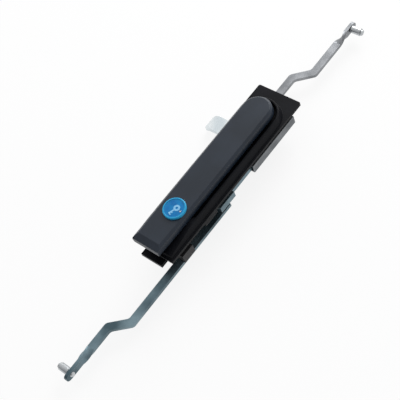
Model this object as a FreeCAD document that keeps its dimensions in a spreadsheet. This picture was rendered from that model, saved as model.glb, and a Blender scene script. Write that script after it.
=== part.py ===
import FreeCAD, Part
import math
import os
import re

import Sketcher
from FreeCAD import Placement, Rotation, Vector

# Three-point swing-handle lock for a cabinet door.
# Origin: where the spindle axis meets the face of the door. +Z runs up the lock,
# +X to the right of someone in front of the door, -Y out of the door towards them.
# The lock is shut: the handle hangs down in line with the body and both rods are out.

SIZES = [
    # body in front of the door
    ("flange_half", 19.9, "half width of the flange on the door"),
    ("flange_top", 27.5, "flange edge above the spindle axis"),
    ("flange_bottom", 132.5, "flange edge below the spindle axis"),
    ("flange_thick", 1.8, "flange sheet of the casting"),
    ("flange_corner", 1.5, "corner radius of the flange"),
    ("seal_thick", 1.2, "rubber seal between flange and door"),
    ("rim_radius", 16.4, "outer radius of the ring and half width of the rim at its crest"),
    ("rim_splay", 2.0, "how much wider the rim is at its foot"),
    ("rim_wall", 1.6, "width of the rim's crest"),
    ("rim_proud", 9.0, "rim crest in front of the door"),
    ("rim_bottom", 128.5, "lower end of the rim"),
    ("rim_edge", 0.5, "rounding of the rim's crest"),
    ("slope_start", 102.0, "where the crest begins to fall away under the grip"),
    ("slope_end_proud", 4.6, "body in front of the door at its lower end"),
    ("dish_floor", 3.2, "floor of the dish in front of the door"),
    ("dish_bottom", 101.0, "lower end of the dish"),
    ("dish_corner", 5.0, "cut corners at the dish's lower end"),
    # body behind the door
    ("neck_half", 13.6, "half width of the neck in the door's cut-out"),
    ("neck_top", 24.5, "neck above the spindle axis"),
    ("neck_bottom", 127.5, "neck below the spindle axis"),
    ("neck_depth", 7.6, "neck behind the door's face"),
    ("neck_wall", 1.8, "wall of the neck"),
    ("rib_thick", 1.6, "ribs inside the neck"),
    ("rib_depth", 4.0, "ribs behind the door's face"),
    ("rib_upper", 38.0, "upper cross rib below the spindle axis"),
    ("rib_lower", 62.0, "lower cross rib below the spindle axis"),
    ("seal_inset", 0.4, "seal inside the flange's edge"),
    ("boss_radius", 11.0, "boss around the spindle's bush"),
    ("screw_boss", 4.0, "radius of the screw bosses"),
    ("hook_half", 10.0, "half width of the hook at the lower end"),
    ("hook_front", 4.6, "front of the hook behind the door's face"),
    ("hook_reach", 136.5, "hook's end below the spindle axis"),
    # handle
    ("handle_half", 12.3, "half width of the handle's face"),
    ("handle_splay", 0.5, "how much wider the handle is underneath"),
    ("handle_clear", 0.3, "handle above the rim's crest"),
    ("handle_thick", 6.9, "depth of the handle"),
    ("handle_reach", 134.6, "handle's free end below the spindle axis"),
    ("handle_taper", 18.6, "length over which the free end narrows"),
    ("handle_tip_half", 11.7, "half width of the free end"),
    ("handle_bevel", 1.6, "bevel around the handle's face"),
    ("end_slope", 5.0, "length of the slope at the free end"),
    ("end_drop", 3.2, "how far the free end's face slopes back"),
    ("handle_wall", 2.2, "walls of the hollow handle"),
    ("handle_roof", 2.2, "face of the hollow handle"),
    ("handle_root", 13.0, "solid root below the spindle axis"),
    ("knuckle_half", 2.2, "half width of the handle's knuckle"),
    ("knuckle_radius", 2.5, "radius of the knuckle and of the spindle's ears"),
    ("pin_height", 4.0, "cross pin above the spindle axis"),
    ("pin_radius", 1.5, "radius of the cross pin"),
    ("pin_under", 2.8, "cross pin below the handle's underside"),
    ("pin_clear", 0.05, "radial clearance on the cross pin"),
    ("ear_inner", 4.3, "inner face of each ear"),
    ("ear_outer", 8.2, "outer face of each ear"),
    ("spring_wire", 0.6, "wire of the handle's spring"),
    ("spring_radius", 1.9, "coil radius of the handle's spring"),
    ("spring_pitch", 0.65, "pitch of the handle's spring"),
    # lock in the handle
    ("lock_depth", 101.0, "lock below the spindle axis"),
    ("barrel_radius", 6.2, "radius of the lock barrel"),
    ("barrel_length", 4.2, "length of the lock barrel"),
    ("plug_radius", 4.2, "radius of the plug"),
    ("plug_clear", 0.05, "radial clearance round the plug"),
    ("key_width", 5.8, "width of the keyhole"),
    ("key_thick", 1.6, "thickness of the keyhole"),
    ("latch_reach", 7.4, "reach of the plug's latch"),
    ("latch_half", 2.6, "half width of the plug's latch"),
    ("latch_thick", 1.5, "thickness of the plug's latch"),
    ("latch_rim", 1.2, "latch around the plug's neck"),
    ("latch_screw", 0.9, "radius of the latch's screw"),
    ("latch_screw_head", 3.2, "radius of its head"),
    ("latch_head_height", 0.7, "height of its head"),
    ("key_stop", 0.6, "plug left behind the keyhole"),
    ("cap_radius", 9.0, "radius of the dust cap"),
    ("cap_thick", 2.0, "thickness of the dust cap"),
    ("cap_offset", 1.6, "dust cap's middle beside the lock's centre"),
    ("cap_lip", 1.3, "width of the raised edge of the dust cap"),
    ("cap_sink", 0.35, "face of the cap below its edge"),
    ("cap_gap", 0.05, "cap above the handle's face"),
    ("cap_pin_offset", 7.3, "cap's pivot beside the lock's centre"),
    ("cap_pin_radius", 0.7, "radius of the cap's pivot"),
    ("cap_pin_depth", 2.0, "cap's pivot in the handle"),
    # spindle
    ("head_radius", 10.5, "spindle's head in the dish"),
    ("head_thick", 1.4, "thickness of the head"),
    ("head_gap", 0.1, "head above its seat"),
    ("head_sink", 1.6, "seat of the head below the dish's floor"),
    ("head_clear", 0.2, "radial clearance round the head"),
    ("journal_radius", 7.0, "spindle in its bush"),
    ("journal_clear", 0.05, "radial clearance in the bush"),
    ("bush_wall", 1.2, "wall of the bush"),
    ("ring_section", 1.1, "section of the sealing ring"),
    ("square_flats", 10.6, "spindle across its flats in the pinion"),
    ("tail_radius", 5.2, "spindle in the case's back"),
    ("cam_flats", 7.2, "spindle across its flats in the cam"),
    ("square_clear", 0.05, "clearance at each flat"),
    # gear case
    ("case_plate", 1.2, "front plate of the gear case"),
    ("case_room", 6.0, "depth inside the gear case"),
    ("case_back", 1.2, "back of the gear case"),
    ("case_side", 1.0, "sides of the gear case"),
    ("case_above", 20.0, "gear case above the spindle axis"),
    ("case_below", 33.0, "gear case below the spindle axis"),
    ("case_bend", 1.0, "outer bend radius of the gear case"),
    ("case_screw_above", 15.6, "upper case screw above the spindle axis"),
    ("case_screw_below", 26.0, "lower case screw below the spindle axis"),
    ("case_screw_radius", 2.0, "radius of the case screws"),
    ("case_screw_head", 3.6, "radius of their heads"),
    ("case_head_height", 2.2, "height of their heads"),
    ("hole_clear", 0.1, "radial clearance of the screws' holes"),
    ("screw_stop", 1.5, "screws' tips behind the door's face"),
    ("spacer_radius", 3.4, "radius of the spacers in the gear case"),
    # pinion and racks
    ("tooth_module", 1.25, "module of the teeth"),
    ("pinion_teeth", 16, "teeth of the pinion"),
    ("tooth_angle", 25.0, "pressure angle in degrees"),
    ("tooth_play", 0.12, "backlash at the pitch line"),
    ("pinion_gap", 0.4, "gap between pinion and case at front and back"),
    ("rack_back", 15.1, "back of each rack beside the spindle axis"),
    ("rack_side_gap", 0.1, "gap between rack and case at the side"),
    ("rack_face_gap", 0.2, "gap between rack and case at front and back"),
    ("rack_overlap", 9.0, "rack past the spindle axis"),
    ("rack_toothed", 24.0, "toothed length of the rack on the other side"),
    ("stem_inner", 9.2, "inner side of the lower rack's stem"),
    ("stem_outer", 13.0, "outer side of the lower rack's stem"),
    ("head_top", 57.5, "top of the lower rack's head"),
    ("head_bottom", 74.5, "bottom of the lower rack's head"),
    ("post_radius", 2.2, "post that carries the rod"),
    ("upper_post", 15.0, "upper rod's post above the spindle axis"),
    ("lower_post", 69.5, "lower rod's post below the spindle axis"),
    ("slot_clear", 0.3, "clearance round the post in the case's slot"),
    # rods
    ("rod_gap", 0.2, "gap between gear case and rods"),
    ("rod_thick", 2.8, "thickness of the rods"),
    ("rod_width", 6.4, "width of the rods"),
    ("rod_offset", 12.9, "rods beside the spindle axis"),
    ("rod_margin", 5.0, "rod past its post"),
    ("rod_bend", 4.0, "inside radius of the joggle's bends"),
    ("upper_joggle", 56.0, "start of the upper rod's joggle"),
    ("lower_joggle", 180.5, "start of the lower rod's joggle"),
    ("joggle_length", 12.0, "length of a joggle"),
    ("upper_straight", 33.5, "upper rod between its joggle and its quarter twist"),
    ("lower_straight", 19.0, "lower rod between its joggle and its quarter twist"),
    ("twist_length", 12.0, "length of a quarter twist"),
    ("upper_end", 13.0, "upper rod past its twist"),
    ("lower_end", 16.5, "lower rod past its twist"),
    ("roller_margin", 6.0, "roller's axis from the rod's tip"),
    ("rod_screw", 1.5, "radius of the rod screws"),
    ("rod_screw_head", 3.0, "radius of their sunk heads"),
    ("roller_radius", 3.1, "radius of the rollers"),
    ("roller_length", 9.0, "length of the rollers"),
    ("roller_pin", 1.6, "radius of the rollers' pins"),
    ("roller_clear", 0.06, "radial clearance of the rollers"),
    ("roller_gap", 0.25, "end play of the rollers"),
    ("rivet_radius", 2.3, "heads of the rollers' pins"),
    ("rivet_height", 0.9, "height of those heads"),
    # cam
    ("cam_gap", 0.6, "cam behind the rods"),
    ("cam_thick", 3.0, "thickness of the cam"),
    ("cam_hub", 9.5, "radius of the cam's hub"),
    ("cam_upper", 1.5, "upper edge of the cam's tongue below the axis"),
    ("cam_lower", 15.5, "lower edge of the cam's tongue below the axis"),
    ("cam_bend", 45.0, "where the tongue's lead-in starts"),
    ("cam_reach", 51.0, "end of the tongue"),
    ("cam_lift", 3.0, "how far the lead-in bends back"),
    ("cam_corner", 2.5, "corner radius of the tongue"),
    ("cam_short", 0.2, "spindle's end inside the cam's back"),
    ("collar_radius", 8.0, "collar between gear case and cam"),
    ("washer_radius", 7.5, "cam washer"),
    ("washer_thick", 1.2, "thickness of the cam washer"),
    ("cam_screw", 2.5, "radius of the cam screw"),
    ("cam_screw_across", 8.0, "cam screw's head across its flats"),
    ("cam_screw_head", 3.5, "height of the cam screw's head"),
    ("cam_thread", 12.0, "depth of the cam screw's thread"),
    # clamp and guide
    ("door_thick", 2.1, "door that the clamp grips"),
    ("clamp_at", 85.0, "clamp below the spindle axis"),
    ("clamp_half", 16.5, "half width of the clamp"),
    ("clamp_width", 14.0, "width of the clamp along the lock"),
    ("clamp_thick", 1.5, "sheet of the clamp"),
    ("clamp_gap", 0.4, "clamp behind the neck"),
    ("clamp_screw", 2.5, "radius of the clamp screw"),
    ("clamp_screw_head", 4.2, "radius of its head"),
    ("clamp_head_height", 3.0, "height of its head"),
    ("guide_at", 116.0, "rod guide below the spindle axis"),
    ("guide_length", 12.0, "length of the rod guide"),
    ("guide_foot", 2.4, "foot of the rod guide"),
    ("guide_wall", 1.5, "lip of the rod guide"),
    ("guide_clear", 0.15, "clearance of the rod in its guide"),
    ("guide_screw", 1.5, "radius of the guide screw"),
    ("guide_screw_head", 2.9, "radius of its head"),
    ("guide_head_height", 1.8, "height of its head"),
]

doc = FreeCAD.newDocument("three_point_lock")
sheet = doc.addObject("Spreadsheet::Sheet", "Sizes")
for row, (alias, number, meaning) in enumerate(SIZES, start=1):
    sheet.set(f"A{row}", meaning)
    sheet.set(f"B{row}", str(number))
    sheet.setAlias(f"B{row}", alias)
doc.recompute()

ALIASES = {alias for alias, _, _ in SIZES}
pieces = {}


def size(alias):
    return float(sheet.get(alias))


def tied(text):
    """An expression on the sheet from one that is written with bare aliases."""
    return re.sub(
        r"[a-z][a-z_]+",
        lambda word: "Sizes." + word.group() if word.group() in ALIASES else word.group(),
        text,
    )


def bind(item, ties):
    for path, text in ties.items():
        item.setExpression(path, tied(text))


def piece(node, item):
    """Give a finished sub-part its name."""
    item.Label = node
    pieces[node] = item
    return item


# Part primitives and booleans, bound to the sheet


def box(name, x, y, z):
    block = doc.addObject("Part::Box", name)
    ties = {}
    for side, axis, (low, high) in (("Length", "x", x), ("Width", "y", y), ("Height", "z", z)):
        ties[side] = f"({high}) - ({low})"
        ties["Placement.Base." + axis] = low
    bind(block, ties)
    return block


AXIS_TURNS = {
    "x": Rotation(Vector(0, 1, 0), 90),
    "y": Rotation(Vector(1, 0, 0), -90),
    "z": Rotation(),
}


def round_bar(name, axis, radius, low, high, x="0", y="0", z="0"):
    bar = doc.addObject("Part::Cylinder", name)
    bar.Placement = Placement(Vector(), AXIS_TURNS[axis])
    place = {"x": x, "y": y, "z": z}
    place[axis] = low
    ties = {"Radius": radius, "Height": f"({high}) - ({low})"}
    for key, text in place.items():
        ties["Placement.Base." + key] = text
    bind(bar, ties)
    return bar


def fuse(name, *items):
    joined = doc.addObject("Part::MultiFuse", name)
    joined.Shapes = list(items)
    joined.Refine = True
    return joined


def cut(name, base, *tools):
    hollowed = doc.addObject("Part::Cut", name)
    hollowed.Base = base
    hollowed.Tool = tools[0] if len(tools) == 1 else fuse(name + "_tools", *tools)
    return hollowed


def common(name, *items):
    shared = doc.addObject("Part::MultiCommon", name)
    shared.Shapes = list(items)
    return shared


def filleted(name, base, radius, wanted):
    """Round the edges of base that wanted(edge) picks."""
    doc.recompute()
    item = doc.addObject("Part::Fillet", name)
    item.Base = base
    numbers = [i for i, edge in enumerate(base.Shape.Edges, start=1) if wanted(edge)]
    item.Edges = [(i, radius, radius) for i in numbers]
    return item


# Sketches and PartDesign features, bound to the sheet


def new_body(name):
    return doc.addObject("PartDesign::Body", name)


def sketch_on(body, name, role, level=None):
    """A sketch on one of the body's origin planes, lifted by level along the plane's normal."""
    sketch = body.newObject("Sketcher::SketchObject", name)
    plane = next(f for f in body.Origin.OriginFeatures if f.Role == role)
    sketch.AttachmentSupport = [(plane, "")]
    sketch.MapMode = "FlatFace"
    if level:
        bind(sketch, {"AttachmentOffset.Base.z": level})
    return sketch


def tie_length(sketch, kind, ends, text):
    index = sketch.addConstraint(Sketcher.Constraint(kind, *ends, 1.0))
    sketch.setExpression(f"Constraints[{index}]", tied(text))


def tie_point(sketch, point, across, up):
    """Tie a point to the sketch's origin. A text that starts with a minus lies on the negative side."""
    origin = (-1, 1)
    for kind, text, axis_line in (("DistanceX", across, -2), ("DistanceY", up, -1)):
        if text == "0":
            sketch.addConstraint(Sketcher.Constraint("PointOnObject", *point, axis_line))
        elif text.startswith("-"):
            tie_length(sketch, kind, point + origin, text[1:])
        else:
            tie_length(sketch, kind, origin + point, text)


def polygon(sketch, corners):
    """A closed outline through corners, each a pair of texts."""
    first = sketch.GeometryCount
    count = len(corners)
    start = [
        Vector(math.cos(2 * math.pi * i / count), math.sin(2 * math.pi * i / count), 0) * 20
        for i in range(count)
    ]
    for i in range(count):
        sketch.addGeometry(Part.LineSegment(start[i], start[(i + 1) % count]), False)
    for i in range(count):
        after = first + (i + 1) % count
        sketch.addConstraint(Sketcher.Constraint("Coincident", first + i, 2, after, 1))
    for i, (across, up) in enumerate(corners):
        tie_point(sketch, (first + i, 1), across, up)


def circle(sketch, radius, across="0", up="0"):
    index = sketch.addGeometry(Part.Circle(Vector(1, 1, 0), Vector(0, 0, 1), 3.0), False)
    tie_length(sketch, "Radius", (index,), radius)
    if across == "0" and up == "0":
        sketch.addConstraint(Sketcher.Constraint("Coincident", index, 3, -1, 1))
    else:
        tie_point(sketch, (index, 3), across, up)


def keyhole(sketch, radius, tail):
    """A half circle about the origin that runs down through tail, the right-hand corners below it."""
    arc = Part.ArcOfCircle(Part.Circle(Vector(), Vector(0, 0, 1), 10.0), 0, math.pi)
    first = sketch.addGeometry(arc, False)
    sketch.addConstraint(Sketcher.Constraint("Coincident", first, 3, -1, 1))
    sketch.addConstraint(Sketcher.Constraint("PointOnObject", first, 1, -1))
    sketch.addConstraint(Sketcher.Constraint("PointOnObject", first, 2, -1))
    tie_length(sketch, "Radius", (first,), radius)
    left = [("-" + f"({across})", up) for across, up in tail]
    corners = left + list(reversed(tail))
    guess = [Vector(-10, 0, 0)]
    guess += [Vector(-10 + i, -20 - 10 * i, 0) for i in range(len(tail))]
    guess += [Vector(10 - i, -20 - 10 * i, 0) for i in reversed(range(len(tail)))]
    guess += [Vector(10, 0, 0)]
    lines = [
        sketch.addGeometry(Part.LineSegment(a, b), False) for a, b in zip(guess, guess[1:])
    ]
    for before, after in zip([first] + lines, lines + [first]):
        end_of = 2
        start_of = 1
        sketch.addConstraint(Sketcher.Constraint("Coincident", before, end_of, after, start_of))
    for line, (across, up) in zip(lines[1:], corners):
        tie_point(sketch, (line, 1), across, up)


def pad(body, sketch, length, backwards=False, taper=None):
    """Add material in front of the sketch, or behind it if backwards."""
    feature = body.newObject("PartDesign::Pad", sketch.Name + "_pad")
    feature.Profile = sketch
    feature.Reversed = backwards
    ties = {"Length": length}
    if taper:
        ties["TaperAngle"] = taper
    bind(feature, ties)
    sketch.Visibility = False
    return feature


def pocket(body, sketch, length, forwards=False, taper=None):
    """Take material away behind the sketch, or in front of it if forwards."""
    doc.recompute()
    before = body.Shape.Volume
    feature = body.newObject("PartDesign::Pocket", sketch.Name + "_pocket")
    feature.Profile = sketch
    feature.Reversed = forwards
    ties = {"Length": length}
    if taper:
        ties["TaperAngle"] = taper
    bind(feature, ties)
    doc.recompute()
    if body.Shape.Volume > before - 0.001:
        raise ValueError(sketch.Name + " takes nothing away")
    return feature


def dress(body, kind, name, reach, wanted):
    """Fillet or chamfer the edges of the body that wanted(edge) picks."""
    doc.recompute()
    tip = body.Tip
    edges = [f"Edge{i}" for i, edge in enumerate(tip.Shape.Edges, start=1) if wanted(edge)]
    feature = body.newObject("PartDesign::" + kind, name)
    feature.Base = (tip, edges)
    bind(feature, {"Radius" if kind == "Fillet" else "Size": reach})
    return feature


def runs_along(edge, direction):
    """Is this a straight edge along direction?"""
    if not isinstance(edge.Curve, (Part.Line, Part.LineSegment)):
        return False
    return edge.tangentAt(edge.FirstParameter).cross(direction).Length < 1e-6


def lies_at(edge, axis, level):
    """Does the whole edge lie at this level on the axis?"""
    box_of = edge.BoundBox
    low, high = {
        "x": (box_of.XMin, box_of.XMax),
        "y": (box_of.YMin, box_of.YMax),
        "z": (box_of.ZMin, box_of.ZMax),
    }[axis]
    return abs(low - level) < 0.01 and abs(high - level) < 0.01


X_WAY, Y_WAY, Z_WAY = Vector(1, 0, 0), Vector(0, 1, 0), Vector(0, 0, 1)

# Levels along Y that several pieces share. Those in front of the door are positive forwards.
FLANGE_FRONT = "seal_thick + flange_thick"
UNDERSIDE = "rim_proud + handle_clear"
HANDLE_FACE = "rim_proud + handle_clear + handle_thick"
PIN_PROUD = "rim_proud + handle_clear - pin_under"
HEAD_BACK = "dish_floor - head_sink + head_gap"
HEAD_FRONT = "dish_floor - head_sink + head_gap + head_thick"
BUSH_RADIUS = "journal_radius + journal_clear + bush_wall"
ROOM_FRONT = "neck_depth + case_plate"
ROOM_BACK = "neck_depth + case_plate + case_room"
CASE_REAR = "neck_depth + case_plate + case_room + case_back"
ROD_FRONT = CASE_REAR + " + rod_gap"
ROD_REAR = CASE_REAR + " + rod_gap + rod_thick"
CAM_FRONT = ROD_REAR + " + cam_gap"
CAM_REAR = ROD_REAR + " + cam_gap + cam_thick"
CASE_HALF = "rack_back + rack_side_gap + case_side"
TRAVEL = "tooth_module * pinion_teeth * pi / 4"
BARREL_BACK = HANDLE_FACE + " - barrel_length"


def make_base_pan():
    """The cast body: flange, drafted rim, dish, neck with its ribs and bosses, and the hook."""
    body = new_body("base_pan_body")
    flange = sketch_on(body, "base_flange", "XZ_Plane", "seal_thick")
    polygon(flange, [
        ("-flange_half", "-flange_bottom"), ("flange_half", "-flange_bottom"),
        ("flange_half", "flange_top"), ("-flange_half", "flange_top"),
    ])
    pad(body, flange, "flange_thick")
    dress(body, "Fillet", "base_corners", "flange_corner", lambda e: runs_along(e, Y_WAY))

    rise = "(rim_proud - seal_thick - flange_thick)"
    rim = sketch_on(body, "base_rim", "XZ_Plane", FLANGE_FRONT)
    foot = "rim_radius + rim_splay"
    keyhole(rim, foot, [(foot, "-(rim_bottom + rim_splay)")])
    pad(body, rim, rise, taper=f"-atan(rim_splay / {rise})")

    fall = sketch_on(body, "base_fall", "YZ_Plane", "flange_half")
    polygon(fall, [
        ("-rim_proud", "-slope_start"), ("-(rim_proud + 1)", "-slope_start"),
        ("-(rim_proud + 1)", "-(flange_bottom + 1)"), ("-slope_end_proud", "-(flange_bottom + 1)"),
    ])
    pocket(body, fall, "2 * flange_half")

    dish = sketch_on(body, "base_dish", "XZ_Plane", "rim_proud")
    inner = "rim_radius - rim_wall"
    keyhole(dish, inner, [(inner, "-(dish_bottom - dish_corner)"), (inner + " - dish_corner", "-dish_bottom")])
    pocket(body, dish, "rim_proud - dish_floor")
    crest = -size("rim_proud")
    dress(body, "Fillet", "base_crest", "rim_edge", lambda e: lies_at(e, "y", crest))

    neck = sketch_on(body, "base_neck", "XZ_Plane", "seal_thick")
    polygon(neck, [
        ("-neck_half", "-neck_bottom"), ("neck_half", "-neck_bottom"),
        ("neck_half", "neck_top"), ("-neck_half", "neck_top"),
    ])
    inside = "(neck_half - neck_wall)"
    polygon(neck, [
        (f"-{inside}", "-(neck_bottom - neck_wall)"), (inside, "-(neck_bottom - neck_wall)"),
        (inside, "neck_top - neck_wall"), (f"-{inside}", "neck_top - neck_wall"),
    ])
    pad(body, neck, "seal_thick + neck_depth", backwards=True)

    spine = sketch_on(body, "base_spine", "XZ_Plane", "seal_thick")
    polygon(spine, [
        ("-(rib_thick / 2)", "-(neck_bottom - neck_wall / 2)"),
        ("rib_thick / 2", "-(neck_bottom - neck_wall / 2)"),
        ("rib_thick / 2", "neck_top - neck_wall / 2"), ("-(rib_thick / 2)", "neck_top - neck_wall / 2"),
    ])
    pad(body, spine, "seal_thick + rib_depth", backwards=True)
    for number, level in enumerate(("rib_upper", "rib_lower", "clamp_at", "guide_at"), start=1):
        rib = sketch_on(body, f"base_rib_{number}", "XZ_Plane", "seal_thick")
        across = "(neck_half - neck_wall / 2)"
        polygon(rib, [
            (f"-{across}", f"-({level} + rib_thick / 2)"), (across, f"-({level} + rib_thick / 2)"),
            (across, f"-({level} - rib_thick / 2)"), (f"-{across}", f"-({level} - rib_thick / 2)"),
        ])
        pad(body, rib, "seal_thick + rib_depth", backwards=True)

    boss = sketch_on(body, "base_boss", "XZ_Plane", "seal_thick")
    circle(boss, "boss_radius")
    pad(body, boss, "seal_thick + neck_depth", backwards=True)
    for number, level in enumerate(("case_screw_above", "-case_screw_below", "-clamp_at", "-guide_at"), start=1):
        post = sketch_on(body, f"base_post_{number}", "XZ_Plane", "seal_thick")
        circle(post, "screw_boss", up=level)
        pad(body, post, "seal_thick + neck_depth", backwards=True)
    hook = sketch_on(body, "base_hook", "XZ_Plane", "-hook_front")
    polygon(hook, [
        ("-hook_half", "-hook_reach"), ("hook_half", "-hook_reach"),
        ("hook_half", "-(neck_bottom - neck_wall)"), ("-hook_half", "-(neck_bottom - neck_wall)"),
    ])
    pad(body, hook, "neck_depth - hook_front", backwards=True)

    seat = sketch_on(body, "base_head_seat", "XZ_Plane", "dish_floor")
    circle(seat, "head_radius + head_clear")
    pocket(body, seat, "head_sink")
    bore = sketch_on(body, "base_bore", "XZ_Plane", "dish_floor")
    circle(bore, BUSH_RADIUS)
    pocket(body, bore, "dish_floor + neck_depth")
    threads = (
        ("case_screw_above", "case_screw_radius"), ("-case_screw_below", "case_screw_radius"),
        ("-clamp_at", "clamp_screw"), ("-guide_at", "guide_screw"),
    )
    for number, (level, radius) in enumerate(threads, start=1):
        thread = sketch_on(body, f"base_thread_{number}", "XZ_Plane", "-neck_depth")
        circle(thread, radius, up=level)
        pocket(body, thread, "neck_depth", forwards=True)
    return piece("base_pan", body)


def make_door_seal():
    """Flat rubber seal behind the flange, open where the neck passes."""
    sheet_of = box(
        "seal_sheet",
        ("-flange_half + seal_inset", "flange_half - seal_inset"),
        ("-seal_thick", "0"),
        ("-flange_bottom + seal_inset", "flange_top - seal_inset"),
    )
    opening = box(
        "seal_opening", ("-neck_half", "neck_half"), ("-seal_thick - 1", "1"), ("-neck_bottom", "neck_top")
    )
    return piece("door_seal", cut("door_seal_cut", sheet_of, opening))


def make_handle():
    """The hollow cast handle with its knuckle, lock bore and bevelled face."""
    body = new_body("handle_body")
    outline = sketch_on(body, "handle_outline", "XZ_Plane", UNDERSIDE)
    wide = "handle_half + handle_splay"
    keyhole(outline, wide, [
        (wide, "-(handle_reach - handle_taper)"),
        ("handle_tip_half + handle_splay", "-(handle_reach + handle_splay)"),
    ])
    pad(body, outline, "handle_thick", taper="-atan(handle_splay / handle_thick)")
    face = -(size("rim_proud") + size("handle_clear") + size("handle_thick"))
    dress(body, "Chamfer", "handle_edge", "handle_bevel", lambda e: lies_at(e, "y", face))
    slope = sketch_on(body, "handle_end_slope", "YZ_Plane", "handle_half")
    polygon(slope, [
        (f"-({HANDLE_FACE})", "-(handle_reach - end_slope)"), (f"-({HANDLE_FACE} + 1)", "-(handle_reach - end_slope)"),
        (f"-({HANDLE_FACE} + 1)", "-(handle_reach + 1)"), (f"-({HANDLE_FACE} - end_drop)", "-(handle_reach + 1)"),
    ])
    pocket(body, slope, "2 * handle_half")

    hollow = sketch_on(body, "handle_hollow", "XZ_Plane", UNDERSIDE)
    inner = "(handle_half - handle_wall)"
    polygon(hollow, [
        (f"-{inner}", "-handle_root"), (f"-{inner}", "-(handle_reach - handle_taper)"),
        ("-(handle_tip_half - handle_wall)", "-(handle_reach - handle_wall)"),
        ("handle_tip_half - handle_wall", "-(handle_reach - handle_wall)"),
        (inner, "-(handle_reach - handle_taper)"), (inner, "-handle_root"),
    ])
    pocket(body, hollow, "handle_thick - handle_roof", forwards=True)

    knuckle = sketch_on(body, "handle_knuckle", "YZ_Plane", "-knuckle_half")
    polygon(knuckle, [
        (f"-({PIN_PROUD})", "pin_height - knuckle_radius"),
        (f"-({PIN_PROUD})", "pin_height + knuckle_radius"),
        (f"-({UNDERSIDE} + 0.5)", "pin_height + knuckle_radius"),
        (f"-({UNDERSIDE} + 0.5)", "pin_height - knuckle_radius"),
    ])
    pad(body, knuckle, "2 * knuckle_half")
    barrel = sketch_on(body, "handle_knuckle_round", "YZ_Plane", "-knuckle_half")
    circle(barrel, "knuckle_radius", f"-({PIN_PROUD})", "pin_height")
    pad(body, barrel, "2 * knuckle_half")
    eye = sketch_on(body, "handle_eye", "YZ_Plane", "knuckle_half")
    circle(eye, "pin_radius + pin_clear", f"-({PIN_PROUD})", "pin_height")
    pocket(body, eye, "2 * knuckle_half")

    seat = sketch_on(body, "handle_lock_boss", "XZ_Plane", BARREL_BACK)
    circle(seat, "handle_half - handle_wall / 4", up="-lock_depth")
    pad(body, seat, "barrel_length - handle_roof / 2")
    bore = sketch_on(body, "handle_lock_bore", "XZ_Plane", HANDLE_FACE)
    circle(bore, "barrel_radius", up="-lock_depth")
    pocket(body, bore, "handle_thick")
    hole = sketch_on(body, "handle_cap_hole", "XZ_Plane", HANDLE_FACE)
    circle(hole, "cap_pin_radius", "cap_pin_offset", "-lock_depth")
    pocket(body, hole, "cap_pin_depth")
    return piece("handle", body)


def make_lock():
    """Barrel, plug, latch and its screw, and the swivelling dust cap with its pivot."""
    low = f"-({HANDLE_FACE})"
    high = f"-({BARREL_BACK})"
    centre = "-lock_depth"
    shell = round_bar("barrel_shell", "y", "barrel_radius", low, high, z=centre)
    room = round_bar("barrel_room", "y", "plug_radius + plug_clear", low + " - 1", high + " + 1", z=centre)
    piece("lock_barrel", cut("lock_barrel_cut", shell, room))

    core = round_bar("plug_core", "y", "plug_radius", low + " + 2 * plug_clear", high, z=centre)
    neck = round_bar("plug_neck", "y", "latch_half", high, high + " + latch_thick", z=centre)
    key_end = low + " + barrel_length - key_stop"
    keyway = box(
        "plug_keyway", ("-key_thick / 2", "key_thick / 2"), (low + " - 1", key_end),
        (centre + " - key_width / 2", centre + " + key_width / 2"),
    )
    thread = round_bar("plug_thread", "y", "latch_screw", key_end + " + key_stop / 3", high + " + latch_thick + 1", z=centre)
    piece("lock_plug", cut("lock_plug_cut", fuse("plug_solid", core, neck), keyway, thread))

    arm_front = high + " + 3 * plug_clear"
    arm_back = high + " + latch_thick"
    arm = box(
        "latch_arm", ("-latch_half", "latch_half"), (arm_front, arm_back),
        (centre, centre + " + latch_reach"),
    )
    eye = round_bar("latch_eye", "y", "latch_half + latch_rim", arm_front, arm_back, z=centre)
    seat = round_bar("latch_seat", "y", "latch_half", high, arm_back + " + 1", z=centre)
    piece("plug_latch", cut("plug_latch_cut", fuse("latch_solid", arm, eye), seat))

    shank = round_bar("latch_shank", "y", "latch_screw", key_end + " + key_stop / 2", arm_back, z=centre)
    head = round_bar(
        "latch_head", "y", "latch_screw_head", arm_back, arm_back + " + latch_head_height", z=centre
    )
    piece("latch_screw", fuse("latch_screw_solid", shank, head))

    cap = new_body("dust_cap_body")
    profile = sketch_on(cap, "cap_outline", "XZ_Plane", HANDLE_FACE + " + cap_gap")
    circle(profile, "cap_radius", "cap_offset", "0")
    pad(cap, profile, "cap_thick")
    top = -(size("rim_proud") + size("handle_clear") + size("handle_thick") + size("cap_gap") + size("cap_thick"))
    dress(cap, "Fillet", "cap_edge", "cap_lip / 2", lambda e: lies_at(e, "y", top))
    sunk = sketch_on(cap, "cap_sunk", "XZ_Plane", HANDLE_FACE + " + cap_gap + cap_thick")
    circle(sunk, "cap_radius - cap_lip", "cap_offset", "0")
    pocket(cap, sunk, "cap_sink")
    hole = sketch_on(cap, "cap_hole", "XZ_Plane", HANDLE_FACE + " + cap_gap + cap_thick")
    circle(hole, "cap_pin_radius + plug_clear", "cap_pin_offset", "0")
    pocket(cap, hole, "cap_thick + 1")
    bind(cap, {"Placement.Base.z": centre})
    piece("dust_cap", cap)

    pivot = round_bar(
        "cap_pivot", "y", "cap_pin_radius", low + " - cap_gap - cap_thick + cap_sink", low + " + cap_pin_depth",
        x="cap_pin_offset", z=centre,
    )
    piece("cap_pin", pivot)


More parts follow.
